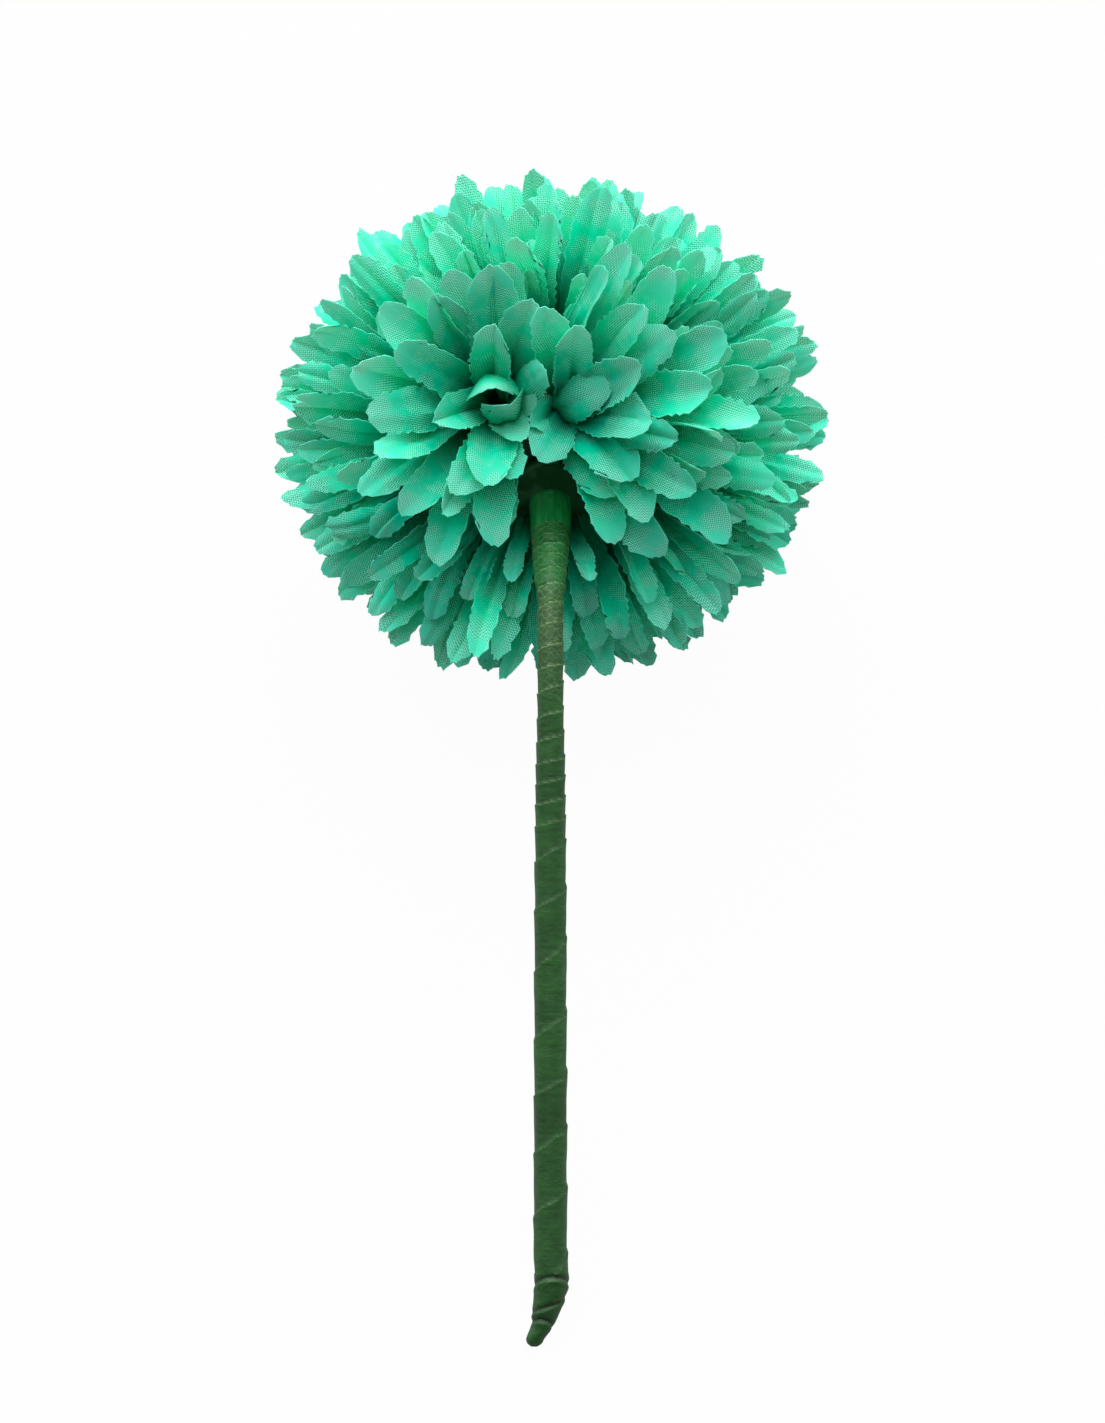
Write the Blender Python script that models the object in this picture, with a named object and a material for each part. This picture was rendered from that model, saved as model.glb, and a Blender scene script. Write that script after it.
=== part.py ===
# Artificial pompon chrysanthemum on a taped wire stem, lying on a surface.
# Metres, +Z up. The stem runs towards -Y, and its tail end and the head touch the floor at z = 0.

import math
import random

import bmesh
import bpy
from mathutils import Matrix, Vector

MM = 0.001

# Head: petal tips lie on a flattened ball whose short axis is the socket's
HEAD_RADIUS = 42.5 * MM
HEAD_POLAR_RADIUS = 34.0 * MM
HEAD_PRESSED_FLAT = 2.2 * MM
# Petals that end this near the floor reach it, and are cut flat where they would pass it by this much
FLOOR_ZONE = 3.0 * MM
FLOOR_CUT = 1.5 * MM
SOCKET_RISE = math.radians(13)

# Fabric core that the petal layers are threaded on
CORE_RADIUS = 13.5 * MM
CORE_WALL = 1.6 * MM
CORE_OPENING = math.radians(29)
CORE_RINGS = 7
# The core and the ball inside it share their facets, so the gap between them is even
ROUND_SEGMENTS = 20

# Petal clusters in rings round the socket: (angle from the socket, number, first azimuth)
CLUSTER_RINGS = (
    (math.radians(64), 7, math.radians(12)),
    (math.radians(106), 7, math.radians(38)),
    (math.radians(145), 5, math.radians(10)),
    (math.radians(180), 1, 0.0),
)
# Petal layers in one cluster: (petals, lean from the cluster's axis, roots' angle from it, reach)
PETAL_LAYERS = (
    (7, math.radians(24), math.radians(19), 1.0),
    (5, math.radians(13), math.radians(10.5), 0.97),
)
PETAL_WIDTH = 6.8 * MM
PETAL_THICKNESS = 0.65 * MM
PETAL_ROOT_DEPTH = 0.75 * MM
PETAL_CUP = 0.28
PETAL_BOW = 0.035
# Half width along the petal, as a share of the widest place: (share of the length, share of the width)
PETAL_OUTLINE = ((0.0, 0.16), (0.38, 0.52), (0.72, 1.0), (0.93, 0.72))
# Random spread of each petal's reach, width and lean, as shares, and of its place in the layer
PETAL_REACH_SPREAD = (0.96, 1.04)
PETAL_WIDTH_SPREAD = (0.9, 1.05)
PETAL_LEAN_SPREAD = (0.9, 1.1)
PETAL_TURN_SPREAD = (-0.12, 0.12)
CLUSTER_WANDER = math.radians(2.5)
LENGTH_STEP = 0.2 * MM
SEED = 11

# Green moulding: ball, collar and the tube that takes the wire
FIT_GAP = 0.3 * MM
BALL_RADIUS = CORE_RADIUS - CORE_WALL - FIT_GAP
NECK_RADIUS = 5.0 * MM
NECK_START = 10.8 * MM
COLLAR_RADIUS = 6.3 * MM
COLLAR_BASE = 12.9 * MM
COLLAR_RIM = 13.8 * MM
COLLAR_LOBES = 5
COLLAR_LOBE_DEPTH = 0.05
TUBE_START = 16.0 * MM
TUBE_RADIUS = 3.18 * MM
TUBE_SHOULDER = 21.5 * MM
TUBE_SHOULDER_RADIUS = 3.0 * MM
TUBE_END = 30.5 * MM

# Wire and the tape wound round it
WIRE_RADIUS = 1.1 * MM
WIRE_TOP = 24.5 * MM
TAPE_TOP = TUBE_SHOULDER + FIT_GAP
TAPE_WALL = 0.55 * MM
STEM_BEND_START = 31.0 * MM
STEM_BEND_RADIUS = 29.0 * MM
STEM_DROP = math.radians(27.4)
TAIL_LENGTH = 11.0 * MM
TAIL_KNOB_RADIUS = 1.3 * MM
TAIL_END_HEIGHT = 0.45 * MM
TAIL_SIDEWAYS = 2.5 * MM
TAIL_TWIST = math.radians(200)
TAPE_SIDES = 12
WIRE_SIDES = 8
TAPE_STATION = 1.5 * MM
WIRE_STATION = 3.0 * MM
TAPE_STEP = 0.16 * MM
# Outer radius of the taped stem: (distance from the tape's top, radius)
STEM_PROFILE = (
    (0.0 * MM, 2.95 * MM),
    (2.5 * MM, 2.80 * MM),
    (6.5 * MM, 2.55 * MM),
    (10.5 * MM, 2.20 * MM),
    (14.0 * MM, 1.88 * MM),
    (30.0 * MM, 1.92 * MM),
    (40.0 * MM, 2.20 * MM),
    (58.0 * MM, 2.36 * MM),
    (90.0 * MM, 2.44 * MM),
    (108.0 * MM, 2.50 * MM),
)

AXIS = Vector((0.0, -math.cos(SOCKET_RISE), math.sin(SOCKET_RISE)))
ACROSS = Vector((1.0, 0.0, 0.0))
UPWARD = Vector((0.0, math.sin(SOCKET_RISE), math.cos(SOCKET_RISE)))


def head_height():
    """Height of the head's centre: the flattened ball's lowest reach, less what the floor presses in."""
    flat = HEAD_POLAR_RADIUS * AXIS.z
    round_part = HEAD_RADIUS * math.sqrt(1.0 - AXIS.z ** 2)
    return math.hypot(flat, round_part) - HEAD_PRESSED_FLAT


CENTRE = Vector((0.0, 0.0, head_height()))


def between(points, place):
    """Value at a place on a line of (place, value) points."""
    if place <= points[0][0]:
        return points[0][1]
    for (a, low), (b, high) in zip(points, points[1:]):
        if place <= b:
            return low + (high - low) * (place - a) / (b - a)
    return points[-1][1]


def material(name, colour, roughness):
    made = bpy.data.materials.new(name)
    made.use_nodes = True
    shader = made.node_tree.nodes["Principled BSDF"]
    shader.inputs["Base Color"].default_value = (*colour, 1.0)
    shader.inputs["Roughness"].default_value = roughness
    shader.inputs["Metallic"].default_value = 0.0
    return made


def new_object(name, mesh_maker, finish):
    """Object from a bmesh, shaded smooth below 40 degrees."""
    mesh = bpy.data.meshes.new(name)
    mesh_maker.to_mesh(mesh)
    mesh_maker.free()
    mesh.materials.append(finish)
    made = bpy.data.objects.new(name, mesh)
    bpy.context.scene.collection.objects.link(made)
    mesh.shade_smooth()
    mesh.set_sharp_from_angle(angle=math.radians(40))
    return made


def direction(from_socket, azimuth):
    """Unit vector at an angle from the socket's axis, at an azimuth counted from upward towards +X."""
    sideways = math.cos(azimuth) * UPWARD + math.sin(azimuth) * ACROSS
    return math.cos(from_socket) * AXIS + math.sin(from_socket) * sideways


def head_reach(offset):
    """Distance from the head's centre to the ball of petal tips, along an offset."""
    way = offset.normalized()
    along = way.dot(AXIS)
    aside = math.sqrt(max(0.0, 1.0 - along ** 2))
    return 1.0 / math.hypot(along / HEAD_POLAR_RADIUS, aside / HEAD_RADIUS)


def petal_length(root, way, reach):
    """Length that puts a petal's tip at a share of the head's radius, or just past the floor it lies on."""
    length = 0.0
    offset = root - CENTRE
    while offset.length < head_reach(offset) * reach:
        length += LENGTH_STEP
        offset = root + way * length - CENTRE
    if CENTRE.z + offset.z < FLOOR_ZONE:
        return (root.z + FLOOR_CUT) / -way.z
    return length


def blade_template():
    """Unit petal: x across from -1 to 1, y along from 0 to 1, z up in thicknesses. Four corners a section."""
    blade = bmesh.new()
    low_share = PETAL_OUTLINE[0][1]
    corners = [
        blade.verts.new((-low_share, 0.0, 0.0)),
        blade.verts.new((0.0, 0.0, -1.0)),
        blade.verts.new((low_share, 0.0, 0.0)),
        blade.verts.new((0.0, 0.0, 0.0)),
    ]
    face = blade.faces.new(corners)
    for place, share in PETAL_OUTLINE[1:]:
        grown = bmesh.ops.extrude_face_region(blade, geom=[face])
        if len(blade.verts) > 2 * len(corners):
            bmesh.ops.delete(blade, geom=[face], context="FACES_ONLY")
        face = next(f for f in grown["geom"] if isinstance(f, bmesh.types.BMFace))
        for corner in face.verts:
            side = (corner.co.x > 0) - (corner.co.x < 0)
            corner.co = Vector((side * share, place, corner.co.z))
    root = min(blade.faces, key=lambda f: f.calc_center_median().y)
    tip = bmesh.ops.poke(blade, faces=[face])["verts"][0]
    tip.co = Vector((0.0, 1.0, -0.5))
    bmesh.ops.triangulate(blade, faces=[f for f in blade.faces if f is not root])
    bmesh.ops.recalc_face_normals(blade, faces=blade.faces[:])
    return blade


def placed_petal(template, root, way, face_way, length, width, finish, name):
    """One petal: the template bent along its bow and cupped, with its root at the cluster."""
    blade = template.copy()
    across = way.cross(face_way)
    for corner in blade.verts:
        u, v, w = corner.co
        half = u * width / 2
        bow = PETAL_BOW * length * 4 * v * (1 - v)
        cup = PETAL_CUP * abs(half)
        rise = bow + cup + w * PETAL_THICKNESS
        corner.co = root + way * (length * v) + across * half + face_way * rise
    return new_object(name, blade, finish)


def cluster_axes():
    """Axes of the petal clusters, spread over the head in rings round the socket."""
    chance = random.Random(SEED)
    for from_socket, number, first in CLUSTER_RINGS:
        for turn in range(number):
            azimuth = first + turn * 2 * math.pi / number
            wander = chance.uniform(-CLUSTER_WANDER, CLUSTER_WANDER)
            yield direction(from_socket + wander, azimuth + wander)


def petal_objects(finish):
    """Every petal of the head, as objects of their own."""
    chance = random.Random(SEED)
    template = blade_template()
    petals = []
    for cluster, axis in enumerate(cluster_axes()):
        first_side = axis.orthogonal().normalized()
        second_side = axis.cross(first_side)
        for layer, (number, lean, root_angle, reach) in enumerate(PETAL_LAYERS):
            start = chance.uniform(0, 2 * math.pi)
            for turn in range(number):
                heading = start + (turn + chance.uniform(*PETAL_TURN_SPREAD)) * 2 * math.pi / number
                side = math.cos(heading) * first_side + math.sin(heading) * second_side
                tilt = lean * chance.uniform(*PETAL_LEAN_SPREAD)
                way = math.cos(tilt) * axis + math.sin(tilt) * side
                face_way = math.sin(tilt) * axis - math.cos(tilt) * side
                root_way = math.cos(root_angle) * axis + math.sin(root_angle) * side
                root = CENTRE + root_way * (CORE_RADIUS - PETAL_ROOT_DEPTH)
                length = petal_length(root, way, reach * chance.uniform(*PETAL_REACH_SPREAD))
                width = PETAL_WIDTH * chance.uniform(*PETAL_WIDTH_SPREAD)
                name = f"petal_{cluster}_{layer}_{turn}"
                petals.append(placed_petal(template, root, way, face_way, length, width, finish, name))
    template.free()
    return petals


def turned(profile, segments, axis_origin, axis):
    """Closed body turned from (distance along the axis, radius) points that start and end on the axis."""
    body = bmesh.new()
    across = axis.orthogonal().normalized()
    points = [body.verts.new(axis_origin + axis * s + across * r) for s, r in profile]
    edges = [body.edges.new(pair) for pair in zip(points, points[1:])]
    bmesh.ops.spin(
        body,
        geom=points + edges,
        cent=axis_origin,
        axis=axis,
        angle=2 * math.pi,
        steps=segments,
        use_merge=True,
    )
    bmesh.ops.remove_doubles(body, verts=body.verts[:], dist=0.01 * MM)
    on_the_axis = [edge for edge in body.edges if not edge.link_faces]
    bmesh.ops.delete(body, geom=on_the_axis, context="EDGES")
    bmesh.ops.recalc_face_normals(body, faces=body.faces[:])
    return body


def arc(radius, start, end, steps):
    """Points of a circle round the head's centre, as (distance along the axis, radius)."""
    for step in range(steps + 1):
        angle = start + (end - start) * step / steps
        yield radius * math.cos(angle), radius * math.sin(angle)


def fabric_core(finish):
    """Thin round wall of stacked fabric that the petals grow from, open round the neck."""
    outer = list(arc(CORE_RADIUS, CORE_OPENING, math.pi, CORE_RINGS))
    inner = list(arc(CORE_RADIUS - CORE_WALL, math.pi, CORE_OPENING, CORE_RINGS))
    profile = outer + inner + outer[:1]
    return new_object("bloom", turned(profile, ROUND_SEGMENTS, CENTRE, AXIS), finish)


def joined_with_petals(core, petals):
    """One Boolean union of the core and all petals, applied, then a cut along the floor."""
    group = bpy.data.collections.new("petals")
    bpy.context.scene.collection.children.link(group)
    for petal in petals:
        bpy.context.scene.collection.objects.unlink(petal)
        group.objects.link(petal)
    union = core.modifiers.new("petals", "BOOLEAN")
    union.operation = "UNION"
    union.operand_type = "COLLECTION"
    union.collection = group
    union.solver = "EXACT"
    floor = floor_cutter()
    cut = core.modifiers.new("floor", "BOOLEAN")
    cut.operation = "DIFFERENCE"
    cut.object = floor
    cut.solver = "EXACT"
    graph = bpy.context.evaluated_depsgraph_get()
    joined = bpy.data.meshes.new_from_object(core.evaluated_get(graph))
    core.modifiers.clear()
    core.data = joined
    for spare in petals + [floor]:
        bpy.data.objects.remove(spare)
    bpy.data.collections.remove(group)
    return core


def floor_cutter():
    """Block whose top is the surface that the flower lies on."""
    block = bmesh.new()
    side = 4 * HEAD_RADIUS
    bmesh.ops.create_cube(block, size=side)
    bmesh.ops.translate(block, verts=block.verts[:], vec=(0.0, 0.0, -side / 2))
    mesh = bpy.data.meshes.new("floor")
    block.to_mesh(mesh)
    block.free()
    made = bpy.data.objects.new("floor", mesh)
    bpy.context.scene.collection.objects.link(made)
    made.hide_render = True
    made.display_type = "WIRE"
    return made


def moulding(finish):
    """Ball, neck, lobed collar and tapered tube with a blind hole for the wire, turned in one."""
    ball = list(arc(BALL_RADIUS, math.pi, CORE_OPENING, CORE_RINGS))
    hole = WIRE_RADIUS + FIT_GAP
    tube_end_radius = between(STEM_PROFILE, TUBE_END - TAPE_TOP) - TAPE_WALL - FIT_GAP
    profile = ball + [
        (NECK_START, NECK_RADIUS),
        (COLLAR_BASE, NECK_RADIUS),
        (COLLAR_RIM, COLLAR_RADIUS),
        (COLLAR_RIM + 0.5 * MM, COLLAR_RADIUS),
        (TUBE_START, TUBE_RADIUS),
        (TUBE_SHOULDER, TUBE_SHOULDER_RADIUS),
        (TUBE_SHOULDER, between(STEM_PROFILE, 0.0) - TAPE_WALL - FIT_GAP),
        (TUBE_END, tube_end_radius),
        (TUBE_END, hole),
        (WIRE_TOP - FIT_GAP, hole),
        (WIRE_TOP - FIT_GAP, 0.0),
    ]
    body = turned(profile, ROUND_SEGMENTS, CENTRE, AXIS)
    for corner in body.verts:
        offset = corner.co - CENTRE
        along = offset.dot(AXIS)
        if COLLAR_BASE < along < TUBE_START - 0.1 * MM:
            aside = offset - AXIS * along
            azimuth = math.atan2(aside.dot(ACROSS), aside.dot(UPWARD))
            lobe = COLLAR_LOBE_DEPTH * math.cos(COLLAR_LOBES * azimuth)
            if aside.length > NECK_RADIUS:
                corner.co += aside * lobe
    return new_object("receptacle", body, finish)


class StemLine:
    """Middle line of the stem: straight out of the socket, one bend down, straight to the floor."""

    def __init__(self):
        self.turn = SOCKET_RISE + STEM_DROP
        self.bend_length = STEM_BEND_RADIUS * self.turn
        bend_end = self.after_bend(0.0)
        self.run = (bend_end.z - TAIL_END_HEIGHT) / math.sin(STEM_DROP)
        self.length = STEM_BEND_START + self.bend_length + self.run

    def after_bend(self, distance):
        """Point on the straight run, a distance past the bend."""
        start = CENTRE + AXIS * STEM_BEND_START
        turned_out = Vector((0.0, math.sin(SOCKET_RISE), math.cos(SOCKET_RISE)))
        bend_centre = start - turned_out * STEM_BEND_RADIUS
        end_normal = Vector((0.0, -math.sin(STEM_DROP), math.cos(STEM_DROP)))
        heading = Vector((0.0, -math.cos(STEM_DROP), -math.sin(STEM_DROP)))
        return bend_centre + end_normal * STEM_BEND_RADIUS + heading * distance

    def at(self, distance):
        """Point and upward normal at a distance from the head's centre."""
        if distance <= STEM_BEND_START:
            return CENTRE + AXIS * distance, UPWARD.copy()
        past = distance - STEM_BEND_START
        if past < self.bend_length:
            slope = SOCKET_RISE - past / STEM_BEND_RADIUS
        else:
            slope = -STEM_DROP
        normal = Vector((0.0, math.sin(slope), math.cos(slope)))
        if past < self.bend_length:
            start = CENTRE + AXIS * STEM_BEND_START
            point = start - UPWARD * STEM_BEND_RADIUS + normal * STEM_BEND_RADIUS
            return point, normal
        point = self.after_bend(past - self.bend_length)
        into_tail = max(0.0, distance - (self.length - TAIL_LENGTH)) / TAIL_LENGTH
        return point - ACROSS * (TAIL_SIDEWAYS * into_tail ** 2), normal


def lofted(sections):
    """Closed body grown from ring to ring, each ring given in the same order round."""
    body = bmesh.new()
    ring = [body.verts.new(point) for point in sections[0]]
    body.faces.new(ring)
    for points in sections[1:]:
        edges = [body.edges.get(pair) for pair in zip(ring, ring[1:] + ring[:1])]
        grown = bmesh.ops.extrude_edge_only(body, edges=edges)["geom"]
        fresh = {corner for corner in grown if isinstance(corner, bmesh.types.BMVert)}
        ring = [next(e.other_vert(old) for e in old.link_edges if e.other_vert(old) in fresh) for old in ring]
        for corner, point in zip(ring, points):
            corner.co = point
    body.faces.new(ring)
    bmesh.ops.recalc_face_normals(body, faces=body.faces[:])
    return body


def ring_round(line, distance, radius_at, sides=TAPE_SIDES):
    """Ring of points round the stem at a distance, with a radius for each side's angle."""
    point, normal = line.at(distance)
    ring = []
    for side in range(sides):
        angle = 2 * math.pi * side / sides
        outward = math.cos(angle) * normal + math.sin(angle) * ACROSS
        ring.append(point + outward * radius_at(angle))
    return ring


def spaced(start, end, step):
    count = max(1, round((end - start) / step))
    return [start + (end - start) * i / count for i in range(count + 1)]


def wire(line, finish):
    end = line.length - TAIL_LENGTH
    places = spaced(WIRE_TOP, end, WIRE_STATION)
    sections = [ring_round(line, place, lambda angle: WIRE_RADIUS, WIRE_SIDES) for place in places]
    return new_object("stem_wire", lofted(sections), finish)


def lap_phase(distance):
    """Turns of the tape down to a distance: close together over the socket, then further apart."""
    past = distance - TAPE_TOP
    return 9.0 * (1 - math.exp(-past / (14 * MM))) + past / (9.0 * MM)


def tape_radius(line, distance, angle):
    """Outer radius of the tape: the stem's profile, with a step at each lap and a twisted, folded tail."""
    past = distance - TAPE_TOP
    tail_start = line.length - TAIL_LENGTH
    lap = (lap_phase(distance) + angle / (2 * math.pi)) % 1.0
    radius = between(STEM_PROFILE, past) - TAPE_STEP * lap
    if distance > tail_start:
        into_tail = (distance - tail_start) / TAIL_LENGTH
        fold = 0.16 * math.cos(2 * angle - TAIL_TWIST * into_tail)
        taper = 1 - 0.42 * into_tail ** 2
        radius *= taper * (1 + fold * min(1.0, 3 * into_tail))
    return radius


def tape(line, finish):
    """Tape sleeve: outside from the top to the tail's knob, and a blind hollow round the tube and wire."""
    end = line.length
    hollow_end = end - TAIL_LENGTH + FIT_GAP
    hole = WIRE_RADIUS + FIT_GAP
    sections = []
    for distance in reversed(spaced(TUBE_END + FIT_GAP, hollow_end, WIRE_STATION)):
        sections.append(ring_round(line, distance, lambda angle: hole))
    for distance in (TUBE_END + FIT_GAP, TAPE_TOP):
        inner = between(STEM_PROFILE, distance - TAPE_TOP) - TAPE_WALL
        sections.append(ring_round(line, distance, lambda angle: inner))
    for distance in spaced(TAPE_TOP, end - TAIL_KNOB_RADIUS, TAPE_STATION):
        sections.append(ring_round(line, distance, lambda angle: tape_radius(line, distance, angle)))
    for place, share in ((0.5, 0.82), (0.86, 0.45)):
        distance = end - TAIL_KNOB_RADIUS * (1 - place)
        sections.append(ring_round(line, distance, lambda angle: share * tape_radius(line, distance, angle)))
    body = lofted(sections)
    for corner in body.verts:
        corner.co.z = max(corner.co.z, 0.0)
    return new_object("stem_tape", body, finish)


def seat_on_origin(objects):
    """Shift all meshes so that the whole stands at the middle of its base."""
    points = [corner.co for made in objects for corner in made.data.vertices]
    low = [min(p[i] for p in points) for i in range(3)]
    high = [max(p[i] for p in points) for i in range(3)]
    shift = Matrix.Translation((-(low[0] + high[0]) / 2, -(low[1] + high[1]) / 2, -low[2]))
    for made in objects:
        made.data.transform(shift)


def build():
    for old in list(bpy.data.objects):
        bpy.data.objects.remove(old)
    petal_fabric = material("petal_fabric", (0.03, 0.52, 0.33), 0.6)
    moulded_green = material("moulded_green", (0.01, 0.11, 0.04), 0.35)
    coated_wire = material("coated_wire", (0.03, 0.12, 0.04), 0.4)
    stem_tape = material("stem_tape", (0.045, 0.12, 0.04), 0.55)
    line = StemLine()
    bloom = joined_with_petals(fabric_core(petal_fabric), petal_objects(petal_fabric))
    made = [bloom, moulding(moulded_green), wire(line, coated_wire), tape(line, stem_tape)]
    seat_on_origin(made)


build()
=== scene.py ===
# Looks of the artificial pompon chrysanthemum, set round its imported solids.
# Metres, +Z up. The head's middle comes from the solids' boxes, and the rest from the object's own sizes.

import random
from dataclasses import dataclass
from math import atan2, copysign, cos, exp, hypot, pi, radians, sin, sqrt

import bmesh
import bpy
from mathutils import Matrix, Vector, noise


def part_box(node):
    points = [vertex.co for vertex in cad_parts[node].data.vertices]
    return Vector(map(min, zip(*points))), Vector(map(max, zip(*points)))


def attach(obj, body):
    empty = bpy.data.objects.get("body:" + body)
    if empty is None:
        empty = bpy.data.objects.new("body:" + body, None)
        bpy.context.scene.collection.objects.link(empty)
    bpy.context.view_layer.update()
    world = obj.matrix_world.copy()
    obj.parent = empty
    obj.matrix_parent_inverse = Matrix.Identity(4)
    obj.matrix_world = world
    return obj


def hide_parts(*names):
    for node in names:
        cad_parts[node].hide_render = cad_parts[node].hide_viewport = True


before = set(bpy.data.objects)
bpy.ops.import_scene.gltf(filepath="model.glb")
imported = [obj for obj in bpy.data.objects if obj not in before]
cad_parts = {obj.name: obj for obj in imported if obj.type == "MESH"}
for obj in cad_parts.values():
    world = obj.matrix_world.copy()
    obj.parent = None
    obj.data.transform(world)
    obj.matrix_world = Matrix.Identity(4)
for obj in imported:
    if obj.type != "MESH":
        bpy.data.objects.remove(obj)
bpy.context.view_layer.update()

MM = 0.001


def in_metres(rows):
    """Rows of sizes in mm, in metres."""
    return tuple(tuple(size * MM for size in row) for row in rows)


# Head: petal tips lie on a flattened ball whose short axis is the socket's
HEAD_RADIUS = 42.5 * MM
HEAD_POLAR_RADIUS = 34.0 * MM
HEAD_PRESSED_FLAT = 2.2 * MM
FLOOR_ZONE = 3.0 * MM
FLOOR_CUT = 1.5 * MM
SOCKET_RISE = radians(13)

# Fabric core, and the petal clusters that the solids have: (angle from the socket, number, first azimuth)
CORE_RADIUS = 13.5 * MM
CORE_OPENING = radians(29)
CORE_WALL = 1.5 * MM
CORE_PLEATS = 0.35 * MM
CLUSTER_RINGS = (
    (radians(64), 7, radians(12)),
    (radians(106), 7, radians(38)),
    (radians(145), 5, radians(10)),
    (radians(180), 1, 0.0),
)
CLUSTER_WANDER = radians(2.5)
# Petal layers of the solids: (petals, lean from the cluster's axis, roots' angle from it, reach)
SOLID_LAYERS = (
    (7, radians(24), radians(19), 1.0),
    (5, radians(13), radians(10.5), 0.97),
)
# Petals that only the looks have, between those layers and in the cluster's heart
ADDED_LAYERS = (
    (8, radians(20), radians(17), 0.97),
    (5, radians(9), radians(9), 0.92),
    (4, radians(24), radians(21), 0.86),
)
PETAL_WIDTH = 6.8 * MM
PETAL_ROOT_DEPTH = 0.75 * MM
PETAL_REACH_SPREAD = (0.96, 1.04)
PETAL_WIDTH_SPREAD = (0.9, 1.05)
PETAL_LEAN_SPREAD = (0.9, 1.1)
PETAL_TURN_SPREAD = (-0.12, 0.12)
# Turn of a petal's face in radians, and how far it looks towards its cluster's axis
FACE_TURN_SPREAD = (-0.45, 0.45)
FACE_TO_AXIS = 0.25
LENGTH_STEP = 0.2 * MM
SEED = 11

# Cut and form of the fabric petals
CUT_SHARE = 0.73
REACH_SHARE = 0.975
CLOTH_THICKNESS = 0.12 * MM
PETAL_COLUMNS = 8
PETAL_ROWS = 28
ROW_CROWDING = 0.72
BASE_SHARE = 0.26
BASE_FLARE = 0.8
WIDEST_PLACE = 0.7
TIP_NARROWING = 0.32
TIP_HEIGHT = 0.54
TIP_DOME = 0.985
WIDTH_WANDER = 0.14
TOOTH_START = 0.35
TOOTH_DEPTH = 0.24 * MM
TOOTH_ZIGZAG = 0.4
TIP_TEETH = 0.5
CURL_START = 0.6
CURL_DEPTH = 0.35
CREASE_WIDTH = 0.2
CREASE_FADE = 0.4
FLUTTER_WAVES = 9
CRUMPLE = 0.45 * MM
CRUMPLE_SCALE = (0.22, 0.16)
# Most that the weave is turned on a petal, in radians, and shifted, in metres
CLOTH_TURN = 0.6
CLOTH_SHIFT = 0.1
FLOOR_SOFTNESS = 1.5 * MM

# Petals round the two hearts that face the viewer are placed one by one: the clusters that they stand for,
# and how far from the viewer's direction no other petal ends
FRONT_CLUSTERS = (0, 6)
FRONT_ZONE = radians(33)
RIGHT_HEART = (radians(60), radians(12))
LEFT_HEART = (radians(70), radians(-39))


@dataclass
class Placed:
    """Petal placed from a list. Its tip is right and up of the head's middle in mm, as the viewer sees it.

    Reach is a share of the head's radius, width is in mm and angles are in degrees. Bend arches it back, or
    forward where it's negative. Its face is turned to the viewer and rolled, or looks another way in the
    picture.
    """
    right: float
    up: float
    reach: float
    width: float
    bend: float = 50
    roll: float = 0
    cup: float = 0.15
    curl: float = 0.0
    crease: float = 0.2
    blunt: float = 0.8
    looks: float | None = None


RIGHT_PETALS = (
    Placed(-0.8, 15.8, 0.92, 6.2, 45),
    Placed(-2.6, -1.2, 0.69, 6.0, 50),
    Placed(3.6, 13.0, 0.93, 5.8, 45, 10, cup=0.4),
    Placed(8.0, 4.4, 0.83, 6.6, 95, cup=-0.35, curl=-0.25),
    Placed(13.4, 7.2, 0.92, 6.6, 60, cup=0.3),
    Placed(14.9, -0.9, 0.92, 7.4, 65, cup=0.1, crease=0.35),
    Placed(18.7, -3.6, 0.93, 5.6, 55, 10),
    Placed(12.0, -9.4, 0.88, 7.6, 70, -5, crease=0.4),
    Placed(9.4, -11.6, 0.8, 7.0, 65, 15, crease=0.3),
    Placed(-1.7, -6.4, 0.77, 7.2, 75, cup=-0.1),
    Placed(9.6, -18.7, 0.87, 6.2, 60, -10),
    Placed(16.3, -20.7, 0.93, 6.2, 50, 10),
    Placed(14.6, -15.4, 0.9, 6.0, 55, -20, cup=0.3),
    Placed(21.5, -11.0, 0.96, 6.0, 45, 15, cup=0.25),
    Placed(8.4, 21.0, 0.98, 5.6, 35, -50, cup=0.3),
    Placed(11.8, 24.7, 1.0, 6.0, 35, -30, cup=0.3),
    Placed(17.7, 21.9, 1.0, 6.2, 35, 20),
    Placed(13.6, 16.2, 0.96, 6.2, 40, -15, cup=0.2),
    Placed(18.0, 12.3, 0.96, 7.0, 45, cup=-0.2),
    Placed(26.1, 11.9, 1.0, 7.0, 40, 10),
    Placed(23.8, 4.1, 0.97, 6.6, 45, cup=0.3),
    Placed(30.6, -1.8, 1.0, 6.0, 40, -30, cup=0.4, curl=0.15),
    Placed(27.3, -5.2, 0.96, 6.8, 45, 10),
    Placed(27.0, -17.5, 1.0, 6.6, 45, -5),
)
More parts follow.
